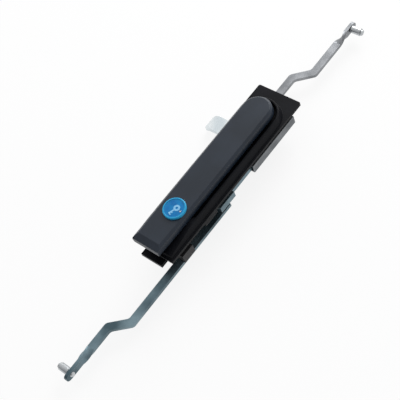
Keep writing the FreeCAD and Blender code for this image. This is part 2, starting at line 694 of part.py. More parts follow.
def make_spindle():
    """One turned and milled piece: head with two ears, journal, two squares and the tail journal."""
    head = round_bar("spindle_head", "y", "head_radius", f"-({HEAD_FRONT})", f"-({HEAD_BACK})")
    ears = []
    for name, low, high in (("left", "-ear_outer", "-ear_inner"), ("right", "ear_inner", "ear_outer")):
        around = round_bar(
            f"ear_{name}_round", "x", "knuckle_radius", low, high, y=f"-({PIN_PROUD})", z="pin_height"
        )
        foot = box(
            f"ear_{name}_foot", (low, high), (f"-({PIN_PROUD})", f"-({HEAD_BACK})"),
            ("pin_height - knuckle_radius", "pin_height + knuckle_radius"),
        )
        ears += [around, foot]
    journal = round_bar("spindle_journal", "y", "journal_radius", f"-({HEAD_BACK})", ROOM_FRONT)
    milled = common(
        "spindle_milled",
        round_bar("milled_round", "y", "journal_radius", ROOM_FRONT, ROOM_BACK),
        box(
            "milled_square", ("-square_flats / 2", "square_flats / 2"), (ROOM_FRONT, ROOM_BACK),
            ("-square_flats / 2", "square_flats / 2"),
        ),
    )
    tail = round_bar("spindle_tail", "y", "tail_radius", ROOM_BACK, ROD_FRONT)
    cam_end = CAM_REAR + " - cam_short"
    square = common(
        "spindle_cam_square",
        round_bar("cam_square_round", "y", "tail_radius", ROD_FRONT, cam_end),
        box(
            "cam_square_flats", ("-cam_flats / 2", "cam_flats / 2"), (ROD_FRONT, cam_end),
            ("-cam_flats / 2", "cam_flats / 2"),
        ),
    )
    solid = fuse("spindle_solid", head, *ears, journal, milled, tail, square)
    eye = round_bar(
        "spindle_eye", "x", "pin_radius", "-ear_outer - 1", "ear_outer + 1",
        y=f"-({PIN_PROUD})", z="pin_height",
    )
    thread = round_bar("spindle_thread", "y", "cam_screw", cam_end + " - cam_thread", cam_end + " + 1")
    piece("spindle", cut("spindle_cut", solid, eye, thread))

    piece("handle_pin", round_bar(
        "handle_pin_bar", "x", "pin_radius", "-ear_outer - pin_clear", "ear_outer + pin_clear",
        y=f"-({PIN_PROUD})", z="pin_height",
    ))

    coil = Part.makeHelix(size("spring_pitch"), 2 * size("spring_pitch"), size("spring_radius"))
    radius, wire = size("spring_radius"), size("spring_wire") / 2
    near, far = Vector(radius - wire, 0, 0), Vector(radius + wire, 0, 0)
    section = Part.Wire([
        Part.Arc(near, Vector(radius, 0, wire), far).toShape(),
        Part.Arc(far, Vector(radius, 0, -wire), near).toShape(),
    ])
    spring = doc.addObject("Part::Feature", "handle_spring_coil")
    spring.Shape = Part.Wire(coil).makePipeShell([section], True, True)
    proud = size("rim_proud") + size("handle_clear") - size("pin_under")
    room = size("ear_inner") - size("knuckle_half") - 2 * size("spring_pitch")
    spring.Placement = Placement(
        Vector(size("knuckle_half") + room / 2, -proud, size("pin_height")), Rotation(Vector(0, 1, 0), 90)
    )
    piece("handle_spring", spring)


def make_bearing():
    """Flanged brass bush and the rubber ring that seals the spindle in front of it."""
    front = "-(dish_floor - head_sink - 2 * ring_section)"
    sleeve = round_bar("bush_sleeve", "y", BUSH_RADIUS, front, "neck_depth")
    room = round_bar("bush_room", "y", "journal_radius + journal_clear", front + " - 1", "neck_depth + 1")
    piece("spindle_bush", cut("spindle_bush_cut", sleeve, room))
    ring = doc.addObject("Part::Torus", "ring_torus")
    ring.Placement = Placement(Vector(), AXIS_TURNS["y"])
    bind(ring, {
        "Radius1": "journal_radius + journal_clear + bush_wall / 2",
        "Radius2": "bush_wall / 2 - journal_clear",
        "Placement.Base.y": "-(dish_floor - head_sink - ring_section)",
    })
    piece("spindle_seal", ring)


def make_gear_case():
    """Folded steel channel, its front plate, and the screws and spacers that hold both to the body."""
    outer = box(
        "case_outer", (f"-({CASE_HALF})", CASE_HALF), (ROOM_FRONT, CASE_REAR), ("-case_below", "case_above")
    )
    rear = size("neck_depth") + size("case_plate") + size("case_room") + size("case_back")
    bent = filleted(
        "case_bent", outer, size("case_bend"), lambda e: runs_along(e, Z_WAY) and lies_at(e, "y", rear)
    )
    room = box(
        "case_room_box", ("-(rack_back + rack_side_gap)", "rack_back + rack_side_gap"),
        (ROOM_FRONT + " - 1", ROOM_BACK), ("-case_below - 1", "case_above + 1"),
    )
    bearing = round_bar("case_bearing", "y", "tail_radius + journal_clear", ROOM_BACK + " - 1", CASE_REAR + " + 1")
    wide = "(post_radius + slot_clear)"
    slots = [box(
        "case_slot", (f"-rod_offset - {wide}", f"-rod_offset + {wide}"),
        (ROOM_BACK + " - 1", CASE_REAR + " + 1"), (f"upper_post - {TRAVEL}", "upper_post"),
    )]
    for name, level in (("top", "upper_post"), ("bottom", f"upper_post - {TRAVEL}")):
        slots.append(round_bar(
            f"case_slot_{name}", "y", wide, ROOM_BACK + " - 1", CASE_REAR + " + 1", x="-rod_offset", z=level
        ))
    holes = []
    plate_holes = []
    for name, level in (("top", "case_screw_above"), ("bottom", "-case_screw_below")):
        holes.append(round_bar(
            f"case_hole_{name}", "y", "case_screw_radius + hole_clear", ROOM_BACK + " - 1", CASE_REAR + " + 1", z=level
        ))
        plate_holes.append(round_bar(
            f"plate_hole_{name}", "y", "case_screw_radius + hole_clear", "neck_depth - 1", ROOM_FRONT + " + 1", z=level
        ))
    piece("gear_case", cut("gear_case_cut", bent, room, bearing, *slots, *holes))

    sheet_of = box(
        "plate_sheet", (f"-({CASE_HALF})", CASE_HALF), ("neck_depth", ROOM_FRONT), ("-case_below", "case_above")
    )
    passage = round_bar("plate_bore", "y", "journal_radius + hole_clear", "neck_depth - 1", ROOM_FRONT + " + 1")
    piece("gear_case_plate", cut("gear_case_plate_cut", sheet_of, passage, *plate_holes))

    spacers = []
    screws = []
    for name, level in (("top", "case_screw_above"), ("bottom", "-case_screw_below")):
        tube = round_bar(f"spacer_{name}", "y", "spacer_radius", ROOM_FRONT, ROOM_BACK, z=level)
        bore = round_bar(
            f"spacer_bore_{name}", "y", "case_screw_radius + hole_clear", ROOM_FRONT + " - 1", ROOM_BACK + " + 1",
            z=level,
        )
        spacers.append(cut(f"spacer_{name}_cut", tube, bore))
        shank = round_bar(f"case_shank_{name}", "y", "case_screw_radius", "screw_stop", CASE_REAR, z=level)
        head = round_bar(
            f"case_head_{name}", "y", "case_screw_head", CASE_REAR, CASE_REAR + " + case_head_height", z=level
        )
        screws.append(fuse(f"case_screw_{name}", shank, head))
    piece("case_spacers", fuse("case_spacers_pair", *spacers))
    piece("case_screws", fuse("case_screws_pair", *screws))


# Teeth


def polar(radius, angle, level):
    return Vector(radius * math.cos(angle), level, radius * math.sin(angle))


def involute(angle):
    return math.tan(angle) - angle


def make_pinion():
    """Involute spur pinion on the spindle's square, one tooth pointing straight at each rack's gap."""
    module = size("tooth_module")
    teeth = int(size("pinion_teeth"))
    press = math.radians(size("tooth_angle"))
    level = size("neck_depth") + size("case_plate") + size("pinion_gap")
    depth = size("case_room") - 2 * size("pinion_gap")
    pitch = module * teeth / 2
    base = pitch * math.cos(press)
    tip = pitch + module
    root = pitch - 1.25 * module
    half = (math.pi * module / 2 - size("tooth_play") / 2) / (2 * pitch)

    def half_angle(radius):
        return half + involute(press) - involute(math.acos(base / radius))

    middle = (base + tip) / 2
    edges = []
    for number in range(teeth):
        centre = 2 * math.pi * number / teeth
        after = 2 * math.pi * (number + 1) / teeth
        rising = [
            polar(base, centre - half_angle(base), level),
            polar(middle, centre - half_angle(middle), level),
            polar(tip, centre - half_angle(tip), level),
        ]
        falling = [
            polar(tip, centre + half_angle(tip), level),
            polar(middle, centre + half_angle(middle), level),
            polar(base, centre + half_angle(base), level),
        ]
        foot_in = polar(root, centre - half_angle(base), level)
        foot_out = polar(root, centre + half_angle(base), level)
        next_foot = polar(root, after - half_angle(base), level)
        edges += [
            Part.LineSegment(foot_in, rising[0]).toShape(),
            Part.Arc(*rising).toShape(),
            Part.Arc(rising[2], polar(tip, centre, level), falling[0]).toShape(),
            Part.Arc(*falling).toShape(),
            Part.LineSegment(falling[2], foot_out).toShape(),
            Part.Arc(foot_out, polar(root, (centre + after) / 2, level), next_foot).toShape(),
        ]
    wheel = Part.Face(Part.Wire(edges)).extrude(Vector(0, depth, 0))
    across = size("square_flats") + 2 * size("square_clear")
    corner = size("journal_radius") + size("square_clear")
    hole = Part.makeBox(across, depth + 2, across, Vector(-across / 2, level - 1, -across / 2))
    hole = hole.common(Part.makeCylinder(corner, depth + 2, Vector(0, level - 1, 0), Y_WAY))
    pinion = doc.addObject("Part::Feature", "pinion_wheel")
    pinion.Shape = wheel.cut(hole)
    piece("pinion", pinion)


def rack_flank(low, high):
    """Corners of the teeth between two levels, from high to low, with a gap centred on level 0."""
    module = size("tooth_module")
    pitch_line = module * size("pinion_teeth") / 2
    slope = math.tan(math.radians(size("tooth_angle")))
    step = math.pi * module
    half = step / 4 - size("tooth_play") / 4
    tip = pitch_line - module
    root = pitch_line + 1.25 * module
    at_tip = half - module * slope
    at_root = half + 1.25 * module * slope
    corners = [(root, high)]
    numbers = range(math.ceil(low / step), math.floor(high / step) + 1)
    for number in reversed(numbers):
        centre = (number + 0.5) * step
        if centre + at_root < high and centre - at_root > low:
            corners += [
                (root, centre + at_root), (tip, centre + at_tip),
                (tip, centre - at_tip), (root, centre - at_root),
            ]
    return corners + [(root, low)]


def make_rack(node, corners, post_level, side):
    """A rack for the right-hand side, or turned half a turn about the spindle for the left."""
    front = size("neck_depth") + size("case_plate") + size("rack_face_gap")
    rear = size("neck_depth") + size("case_plate") + size("case_room") - size("rack_face_gap")
    rod_front = size("neck_depth") + size("case_plate") + size("case_room") + size("case_back") + size("rod_gap")
    outline = [Vector(x, front, z) for x, z in corners]
    bar = Part.Face(Part.makePolygon(outline + outline[:1])).extrude(Vector(0, rear - front, 0))
    at = Vector(size("rod_offset"), rear, post_level)
    post = Part.makeCylinder(size("post_radius"), rod_front - rear, at, Y_WAY)
    thread = Part.makeCylinder(size("rod_screw"), rod_front - front, at + Vector(0, front - rear, 0), Y_WAY)
    solid = bar.fuse(post).cut(thread).removeSplitter()
    if side == "left":
        solid.rotate(Vector(), Y_WAY, 180)
    rack = doc.addObject("Part::Feature", node + "_bar")
    rack.Shape = solid
    return piece(node, rack)


def make_racks():
    back = size("rack_back")
    top = size("rack_overlap")
    low = -size("rack_toothed")
    inner = size("stem_inner")
    outer = size("stem_outer")
    head_outer = size("rod_offset") + size("rod_width") / 2
    head_top = -size("head_top")
    head_bottom = -size("head_bottom")
    toothed = rack_flank(low, top)
    stem = [
        (inner, low), (inner, head_bottom), (head_outer, head_bottom), (head_outer, head_top),
        (outer, head_top), (outer, low), (back, low), (back, top),
    ]
    make_rack("lower_rack", toothed + stem, -size("lower_post"), "right")
    make_rack("upper_rack", toothed + [(back, low), (back, top)], -size("upper_post"), "left")


# Rods and rollers


def make_rod(side, post, joggle, straight, end):
    """A flat rod for the right-hand side: straight, joggled to the middle, twisted a quarter turn."""
    front = size("neck_depth") + size("case_plate") + size("case_room") + size("case_back") + size("rod_gap")
    thick = size("rod_thick")
    half = size("rod_width") / 2
    offset = size("rod_offset")
    start = -(post - size("rod_margin"))
    bend = -joggle
    flat_end = -(joggle + size("joggle_length"))
    twist = joggle + size("joggle_length") + straight
    reach = twist + size("twist_length") + end
    lean = math.atan2(offset, size("joggle_length"))
    mitre = half * math.tan(lean / 2)
    outline = [
        (offset - half, start), (offset - half, bend + mitre), (-half, flat_end + mitre), (-half, -twist),
        (half, -twist), (half, flat_end - mitre), (offset + half, bend - mitre), (offset + half, start),
    ]
    corners = [Vector(x, front, z) for x, z in outline]
    flat = Part.Face(Part.makePolygon(corners + corners[:1])).extrude(Vector(0, thick, 0))
    bends = [corners[i] for i in (1, 2, 5, 6)]
    tight = [e for e in flat.Edges if runs_along(e, Y_WAY) and any(
        (e.Vertexes[0].Point - b).Length < thick + 0.01 and abs(e.Vertexes[0].Point.x - b.x) < 0.01
        and abs(e.Vertexes[0].Point.z - b.z) < 0.01 for b in bends
    )]
    flat = flat.makeFillet(size("rod_bend"), tight)

    middle = front + thick / 2
    sections = []
    steps = 4
    for number in range(steps + 1):
        turn = 90 * number / steps
        level = -twist - size("twist_length") * number / steps
        ring = Part.makePolygon([
            Vector(-half, -thick / 2, 0), Vector(half, -thick / 2, 0), Vector(half, thick / 2, 0),
            Vector(-half, thick / 2, 0), Vector(-half, -thick / 2, 0),
        ])
        ring.rotate(Vector(), Z_WAY, turn)
        ring.translate(Vector(0, middle, level))
        sections.append(ring)
    turned = Part.makeLoft(sections, True, False)
    twist_end = -twist - size("twist_length")
    tip = Part.makeBox(
        thick, 2 * half, reach - half + twist_end, Vector(-thick / 2, middle - half, -(reach - half))
    )
    round_end = Part.makeCylinder(half, thick, Vector(-thick / 2, middle, -(reach - half)), X_WAY)
    solid = flat.fuse([turned, tip, round_end]).removeSplitter()
    at = Vector(offset, front, -post)
    sunk_depth = size("rod_screw_head") - size("rod_screw")
    sunk = Part.makeCone(
        size("rod_screw"), size("rod_screw_head"), sunk_depth, at + Vector(0, thick - sunk_depth, 0), Y_WAY
    )
    screw_hole = Part.makeCylinder(size("rod_screw") + 0.1, thick, at, Y_WAY)
    axis_level = -(reach - size("roller_margin"))
    pin_hole = Part.makeCylinder(size("roller_pin"), 4 * thick, Vector(-2 * thick, middle, axis_level), X_WAY)
    solid = solid.cut([sunk, screw_hole, pin_hole])
    screw = Part.makeCone(
        size("rod_screw"), size("rod_screw_head"), sunk_depth, at + Vector(0, thick - sunk_depth, 0), Y_WAY
    ).fuse(Part.makeCylinder(size("rod_screw") - 0.03, thick + 5, at + Vector(0, -5, 0), Y_WAY))

    # the roller stands on the left of the lower rod and, turned with it, on the right of the upper one
    face = -thick / 2
    gap = size("roller_gap")
    length = size("roller_length")
    pin_end = face - gap - length - gap
    pin = Part.makeCylinder(
        size("roller_pin"), thick / 2 - pin_end, Vector(pin_end, middle, axis_level), X_WAY
    )
    near_head = Part.makeCone(
        size("rivet_radius"), size("roller_pin"), size("rivet_height"), Vector(-face, middle, axis_level), X_WAY
    )
    far_head = Part.makeCylinder(
        size("rivet_radius"), size("rivet_height"),
        Vector(pin_end - size("rivet_height"), middle, axis_level), X_WAY,
    )
    pin = pin.fuse([near_head, far_head]).removeSplitter()
    low = Vector(face - gap - length, middle, axis_level)
    roller = Part.makeCylinder(size("roller_radius"), length, low, X_WAY)
    rims = [e for e in roller.Edges if isinstance(e.Curve, Part.Circle)]
    roller = roller.makeChamfer(0.4, rims)
    roller = roller.cut(
        Part.makeCylinder(size("roller_pin") + size("roller_clear"), length, low, X_WAY)
    )
    shapes = {"rod": solid, "rod_screw": screw, "roller_pin": pin, "roller": roller}
    for kind, shape in shapes.items():
        if side == "upper":
            shape.rotate(Vector(0, 0, 0), Y_WAY, 180)
        item = doc.addObject("Part::Feature", f"{side}_{kind}_solid")
        item.Shape = shape
        piece(f"{side}_{kind}", item)


def make_cam():
    """Offset cam with a bent lead-in, the collar in front of it, and its washer and screw."""
    hub = round_bar("cam_hub_disc", "y", "cam_hub", CAM_FRONT, CAM_REAR)
    tongue = new_body("cam_tongue_body")
    side = sketch_on(tongue, "cam_side", "XY_Plane", "-cam_lower")
    polygon(side, [
        ("0", CAM_FRONT), ("0", CAM_REAR), ("-cam_bend", CAM_REAR),
        ("-cam_reach", CAM_REAR + " + cam_lift"), ("-cam_reach", CAM_FRONT + " + cam_lift"),
        ("-cam_bend", CAM_FRONT),
    ])
    pad(tongue, side, "cam_lower - cam_upper")
    doc.recompute()
    reach = -size("cam_reach")
    dress(tongue, "Fillet", "cam_corners", "cam_corner", lambda e: runs_along(e, Y_WAY) and lies_at(e, "x", reach))
    solid = fuse("cam_solid", hub, tongue)
    hole = box(
        "cam_hole", ("-cam_flats / 2 - square_clear", "cam_flats / 2 + square_clear"),
        (CAM_FRONT + " - 1", CAM_REAR + " + 1"),
        ("-cam_flats / 2 - square_clear", "cam_flats / 2 + square_clear"),
    )
    piece("cam_latch", cut("cam_latch_cut", solid, hole))

    ring = round_bar("collar_ring", "y", "collar_radius", ROD_FRONT, CAM_FRONT)
    bore = round_bar("collar_bore", "y", "tail_radius + square_clear", ROD_FRONT + " - 1", CAM_FRONT + " + 1")
    piece("cam_collar", cut("cam_collar_cut", ring, bore))
    disc = round_bar("washer_disc", "y", "washer_radius", CAM_REAR, CAM_REAR + " + washer_thick")
    eye = round_bar("washer_eye", "y", "cam_screw + hole_clear", CAM_REAR + " - 1", CAM_REAR + " + washer_thick + 1")
    piece("cam_washer", cut("cam_washer_cut", disc, eye))
    under = CAM_REAR + " + washer_thick"
    shank = round_bar("cam_screw_shank", "y", "cam_screw", CAM_REAR + " - cam_thread + 1", under)
    head = doc.addObject("Part::Prism", "cam_screw_hexagon")
    head.Polygon = 6
    head.Placement = Placement(Vector(), AXIS_TURNS["y"])
    bind(head, {
        "Circumradius": "cam_screw_across / sqrt(3)", "Height": "cam_screw_head", "Placement.Base.y": under
    })
    piece("cam_screw", fuse("cam_screw_solid", shank, head))


def make_fixings():
    """The clamp that grips the door's edge behind the body, and the guide of the lower rod."""
    low = "-clamp_at - clamp_width / 2"
    high = "-clamp_at + clamp_width / 2"
    web_front = "neck_depth + clamp_gap"
    web_rear = web_front + " + clamp_thick"
    outer = box("clamp_outer", ("-clamp_half", "clamp_half"), ("door_thick", web_rear), (low, high))
    rear = size("neck_depth") + size("clamp_gap") + size("clamp_thick")
    bent = filleted(
        "clamp_bent", outer, size("clamp_thick") + size("case_bend") / 4, lambda e: runs_along(e, Z_WAY) and lies_at(e, "y", rear)
    )
    room = box(
        "clamp_room", ("-clamp_half + clamp_thick", "clamp_half - clamp_thick"),
        ("door_thick - 1", web_front), (low + " - 1", high + " + 1"),
    )
    hole = round_bar("clamp_hole", "y", "clamp_screw + 2 * hole_clear", web_front + " - 1", web_rear + " + 1", z="-clamp_at")
    piece("clamp_bracket", cut("clamp_bracket_cut", bent, room, hole))
    shank = round_bar("clamp_shank", "y", "clamp_screw", "screw_stop", web_rear, z="-clamp_at")
    head = round_bar(
        "clamp_head", "y", "clamp_screw_head", web_rear, web_rear + " + clamp_head_height", z="-clamp_at"
    )
    recess = round_bar(
        "clamp_recess", "y", "clamp_screw * 0.8", web_rear + " + clamp_head_height / 2", web_rear + " + clamp_head_height + 1",
        z="-clamp_at",
    )
    piece("clamp_screw", cut("clamp_screw_cut", fuse("clamp_screw_solid", shank, head), recess))

    low = "-guide_at - guide_length / 2"
    high = "-guide_at + guide_length / 2"
    outside = "rod_offset + rod_width / 2 + guide_wall"
    inside = "rod_offset - rod_width / 2 - guide_clear"
    foot = box(
        "guide_foot_box", ("-(screw_boss + 1)", outside), ("neck_depth", "neck_depth + guide_foot"), (low, high)
    )
    block = box(
        "guide_block", (inside + " - guide_wall", outside),
        ("neck_depth", ROD_REAR + " + guide_clear + guide_wall"), (low, high),
    )
    channel = box(
        "guide_channel", (inside, outside + " + 1"), (ROD_FRONT + " - guide_clear", ROD_REAR + " + guide_clear"),
        (low + " - 1", high + " + 1"),
    )
    trim = box(
        "guide_trim", ("rod_offset", outside + " + 1"),
        (ROD_REAR, ROD_REAR + " + guide_clear + guide_wall + 1"), (low + " - 1", high + " + 1"),
    )
    hole = round_bar(
        "guide_hole", "y", "guide_screw + hole_clear", "neck_depth - 1", "neck_depth + guide_foot + 1", z="-guide_at"
    )
    piece("rod_guide", cut("rod_guide_cut", fuse("guide_solid", foot, block), channel, trim, hole))
    seat = "neck_depth + guide_foot"
    shank = round_bar("guide_shank", "y", "guide_screw", "screw_stop", seat, z="-guide_at")
    head = round_bar("guide_head", "y", "guide_screw_head", seat, seat + " + guide_head_height", z="-guide_at")
    piece("guide_screw", fuse("guide_screw_solid", shank, head))


make_base_pan()
make_door_seal()
make_handle()
make_lock()
make_spindle()
make_bearing()
make_gear_case()
make_pinion()
make_racks()
make_rod("lower", size("lower_post"), size("lower_joggle"), size("lower_straight"), size("lower_end"))
make_rod("upper", size("upper_post"), size("upper_joggle"), size("upper_straight"), size("upper_end"))
make_cam()
make_fixings()
doc.recompute()

for item in doc.Objects:
    if "Invalid" in item.State or "Error" in item.State:
        raise ValueError(item.Name + " did not build")
for node, item in pieces.items():
    if item.Shape.isNull() or not item.Shape.isValid() or not item.Shape.Solids:
        raise ValueError(node + " is not a sound solid")

os.makedirs("parts", exist_ok=True)
for node, item in pieces.items():
    item.Shape.exportStep(os.path.join("parts", node + ".step"))
    print(node, len(item.Shape.Solids), round(item.Shape.Volume, 1))
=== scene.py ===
import math

import bmesh
import bpy
from mathutils import Matrix, Vector


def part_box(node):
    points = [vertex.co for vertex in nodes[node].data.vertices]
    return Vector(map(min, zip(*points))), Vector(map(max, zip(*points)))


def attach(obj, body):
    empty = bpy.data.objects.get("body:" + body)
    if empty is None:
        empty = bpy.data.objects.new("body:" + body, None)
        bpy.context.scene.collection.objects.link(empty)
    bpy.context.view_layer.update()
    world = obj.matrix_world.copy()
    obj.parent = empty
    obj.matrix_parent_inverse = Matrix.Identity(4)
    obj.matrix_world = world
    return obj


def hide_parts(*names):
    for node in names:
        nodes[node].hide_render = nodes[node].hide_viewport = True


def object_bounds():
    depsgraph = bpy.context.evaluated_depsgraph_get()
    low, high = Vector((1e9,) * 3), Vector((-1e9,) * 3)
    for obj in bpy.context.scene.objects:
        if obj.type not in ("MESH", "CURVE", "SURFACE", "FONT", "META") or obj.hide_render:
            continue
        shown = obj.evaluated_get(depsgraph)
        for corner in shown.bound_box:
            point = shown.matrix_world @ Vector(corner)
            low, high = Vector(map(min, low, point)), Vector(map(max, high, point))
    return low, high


# The looks of a three-point lock: black cast body and handle, blue dust cap, zinc-plated drive.
# Metres, apart from the sizes of the small pieces and the camera's aim, which are in millimetres.
# The lock lies on its back on a pale table, which is the plane behind it.

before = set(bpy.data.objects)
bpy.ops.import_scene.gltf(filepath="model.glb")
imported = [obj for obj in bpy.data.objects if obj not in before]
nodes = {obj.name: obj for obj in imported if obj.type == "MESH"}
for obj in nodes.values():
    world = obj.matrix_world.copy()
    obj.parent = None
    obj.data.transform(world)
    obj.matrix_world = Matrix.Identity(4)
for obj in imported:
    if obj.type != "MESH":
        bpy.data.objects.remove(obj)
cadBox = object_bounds()
mm = 0.001
print("frame loaded:", len(nodes), "pieces")


# Shader building blocks

def join(tree, source, target):
    tree.links.new(source, target)


def feed(tree, socket, value):
    if isinstance(value, (int, float)):
        socket.default_value = value
    elif isinstance(value, (tuple, list)):
        socket.default_value = (*value, 1) if len(value) == 3 and socket.type == "RGBA" else value
    else:
        join(tree, value, socket)


def mathNode(tree, operation, *values):
    node = tree.nodes.new("ShaderNodeMath")
    node.operation = operation
    for socket, value in zip(node.inputs, values):
        feed(tree, socket, value)
    return node.outputs[0]


def spread(tree, value, low, high, toLow, toHigh):
    node = tree.nodes.new("ShaderNodeMapRange")
    join(tree, value, node.inputs["Value"])
    for name, number in (("From Min", low), ("From Max", high), ("To Min", toLow), ("To Max", toHigh)):
        node.inputs[name].default_value = number
    return node.outputs[0]


def mixColour(tree, factor, first, second):
    node = tree.nodes.new("ShaderNodeMix")
    node.data_type = "RGBA"
    feed(tree, node.inputs["Factor"], factor)
    colourInputs = [s for s in node.inputs if s.type == "RGBA"]
    feed(tree, colourInputs[0], first)
    feed(tree, colourInputs[1], second)
    return [s for s in node.outputs if s.type == "RGBA"][0]


def noise(tree, vector, scale, detail):
    node = tree.nodes.new("ShaderNodeTexNoise")
    join(tree, vector, node.inputs["Vector"])
    feed(tree, node.inputs["Scale"], scale)
    node.inputs["Detail"].default_value = detail
    return node.outputs[0]


def newGroup(name, inputs, outputs):
    group = bpy.data.node_groups.new(name, "ShaderNodeTree")
    for title, kind, value in inputs:
        socket = group.interface.new_socket(title, in_out="INPUT", socket_type="NodeSocket" + kind)
        if value is not None:
            socket.default_value = value
    for title, kind in outputs:
        group.interface.new_socket(title, in_out="OUTPUT", socket_type="NodeSocket" + kind)
    return group, group.nodes.new("NodeGroupInput"), group.nodes.new("NodeGroupOutput")


noiseMiddle = (0.35, 0.65)  # most of a noise texture's values lie between these
noiseWide = (0.3, 0.7)  # nearly all of them
noiseRubbed = (0.42, 0.62)  # the patches where edges show scuffed paint and the painted edge highlight


def cloudy(tree, value):
    return spread(tree, value, *noiseMiddle, 0.0, 1.0)


def makeGrain():
    # fine and broad noise of a coating: Tone for its colour and gloss, Height for its bumps
    group, given, result = newGroup(
        "coatingGrain",
        [("Vector", "Vector", None), ("Fine Scale", "Float", 1500.0), ("Broad Scale", "Float", 40.0),
         ("Fine Share", "Float", 0.6)],
        [("Tone", "Float"), ("Height", "Float")],
    )
    fine = noise(group, given.outputs["Vector"], given.outputs["Fine Scale"], 3)
    broad = noise(group, given.outputs["Vector"], given.outputs["Broad Scale"], 4)
    rest = mathNode(group, "SUBTRACT", 1.0, given.outputs["Fine Share"])
    both = mathNode(
        group, "ADD", mathNode(group, "MULTIPLY", fine, given.outputs["Fine Share"]),
        mathNode(group, "MULTIPLY", broad, rest),
    )
    join(group, broad, result.inputs["Tone"])
    join(group, both, result.inputs["Height"])
    return group


def makeBrush():
    # streaks along one direction, as rolled and brushed strip has
    group, given, result = newGroup(
        "rollingStreaks",
        [("Vector", "Vector", None), ("Stretch", "Vector", (1, 1, 0.03)), ("Scale", "Float", 2500.0)],
        [("Streak", "Float")],
    )
    turn = group.nodes.new("ShaderNodeVectorMath")
    turn.operation = "MULTIPLY"
    join(group, given.outputs["Vector"], turn.inputs[0])
    join(group, given.outputs["Stretch"], turn.inputs[1])
    join(group, noise(group, turn.outputs[0], given.outputs["Scale"], 2), result.inputs["Streak"])
    return group


edgeMarks = dict(samples=4, plain=0.98, wornAndLit=0.80)  # cosine between the true and the rounded normal


def makeEdges(look):
    # rounds sharp edges in the shading and marks them for scuffed paint and for the painted edge highlight
    group, given, result = newGroup(
        "softEdges", [("Radius", "Float", 0.0003)], [("Normal", "Vector"), ("Edge", "Float")]
    )
    bevel = group.nodes.new("ShaderNodeBevel")
    bevel.samples = look["samples"]
    join(group, given.outputs["Radius"], bevel.inputs["Radius"])
    flat = group.nodes.new("ShaderNodeNewGeometry")
    dot = group.nodes.new("ShaderNodeVectorMath")
    dot.operation = "DOT_PRODUCT"
    join(group, bevel.outputs[0], dot.inputs[0])
    join(group, flat.outputs["Normal"], dot.inputs[1])
    join(group, bevel.outputs[0], result.inputs["Normal"])
    marked = spread(group, dot.outputs["Value"], look["plain"], look["wornAndLit"], 0.0, 1.0)
    join(group, marked, result.inputs["Edge"])
    return group


grainGroup = makeGrain()
brushGroup = makeBrush()
edgeGroup = makeEdges(edgeMarks)


def useGroup(tree, group, **values):
    node = tree.nodes.new("ShaderNodeGroup")
    node.node_tree = group
    for name, value in values.items():
        feed(tree, node.inputs[name.replace("_", " ")], value)
    return node


def newMaterial(name, **sockets):
    material = bpy.data.materials.new(name)
    material.use_nodes = True
    tree = material.node_tree
    tree.nodes.clear()
    output = tree.nodes.new("ShaderNodeOutputMaterial")
    shader = tree.nodes.new("ShaderNodeBsdfPrincipled")
    join(tree, shader.outputs[0], output.inputs["Surface"])
    for title, value in sockets.items():
        shader.inputs[title.replace("_", " ")].default_value = value
    place = tree.nodes.new("ShaderNodeTexCoord").outputs["Object"]
    return material, tree, shader, place


def addBump(tree, shader, height, normal, distance, strength=1.0):
    bump = tree.nodes.new("ShaderNodeBump")
    bump.inputs["Distance"].default_value = distance
    bump.inputs["Strength"].default_value = strength
    join(tree, height, bump.inputs["Height"])
    join(tree, normal, bump.inputs["Normal"])
    join(tree, bump.outputs[0], shader.inputs["Normal"])


def grainFor(tree, place, look):
    return useGroup(
        tree, grainGroup, Vector=place, Fine_Scale=look["grainScale"], Broad_Scale=look["patchScale"],
        Fine_Share=look["grainShare"],
    )


def coated(name, look):
    # powder coat or moulded skin: dark, finely grained, paler at edges in scuffed patches, partly scuffed
    # paint and partly a painted edge highlight
    material, tree, shader, place = newMaterial(name, Specular_IOR_Level=look["shine"])
    grain = grainFor(tree, place, look)
    edges = useGroup(tree, edgeGroup, Radius=look["edge"])
    skin = mixColour(tree, cloudy(tree, grain.outputs["Tone"]), look["dark"], look["light"])
    scuffs = noise(tree, place, look["scuffScale"], 3)
    reached = spread(tree, scuffs, *noiseRubbed, 0.0, look["wearAndHighlight"])
    # edge mark inside scuff patches: partly scuffed paint, partly painted edge highlight
    scuffedAndLitEdges = mathNode(tree, "MULTIPLY", edges.outputs["Edge"], reached)
    join(tree, mixColour(tree, scuffedAndLitEdges, skin, look["bare"]), shader.inputs["Base Color"])
    rough = spread(tree, grain.outputs["Tone"], *noiseWide, *look["rough"])
    join(tree, rough, shader.inputs["Roughness"])
    addBump(tree, shader, grain.outputs["Height"], edges.outputs["Normal"], look["depth"])
    return material


streakShare = 0.5  # of the streaks in a metal's gloss, the rest being grain
grainLift = 0.4  # height of the grain beside that of the streaks


def plated(name, look):
    # plated or ground steel: metal with streaks and cloudy patches, and a painted highlight along every edge
    material, tree, shader, place = newMaterial(name, Metallic=look["metal"])
    grain = grainFor(tree, place, look)
    streaks = useGroup(tree, brushGroup, Vector=place, Stretch=look["stretch"], Scale=look["streakScale"])
    edges = useGroup(tree, edgeGroup, Radius=look["edge"])
    cloud = mixColour(tree, cloudy(tree, grain.outputs["Tone"]), look["dark"], look["light"])
    # painted edge highlight: every edge is pushed towards the pale edge colour
    bright = mathNode(tree, "MULTIPLY", edges.outputs["Edge"], look["edgeShine"])
    join(tree, mixColour(tree, bright, cloud, look["bare"]), shader.inputs["Base Color"])
    mixed = mathNode(
        tree, "ADD", mathNode(tree, "MULTIPLY", grain.outputs["Tone"], 1 - streakShare),
        mathNode(tree, "MULTIPLY", streaks.outputs["Streak"], streakShare),
    )
    join(tree, spread(tree, mixed, *noiseMiddle, *look["rough"]), shader.inputs["Roughness"])
    lift = mathNode(tree, "MULTIPLY", grain.outputs["Height"], grainLift)
    height = mathNode(tree, "ADD", lift, streaks.outputs["Streak"])
    addBump(tree, shader, height, edges.outputs["Normal"], look["depth"])
    return material


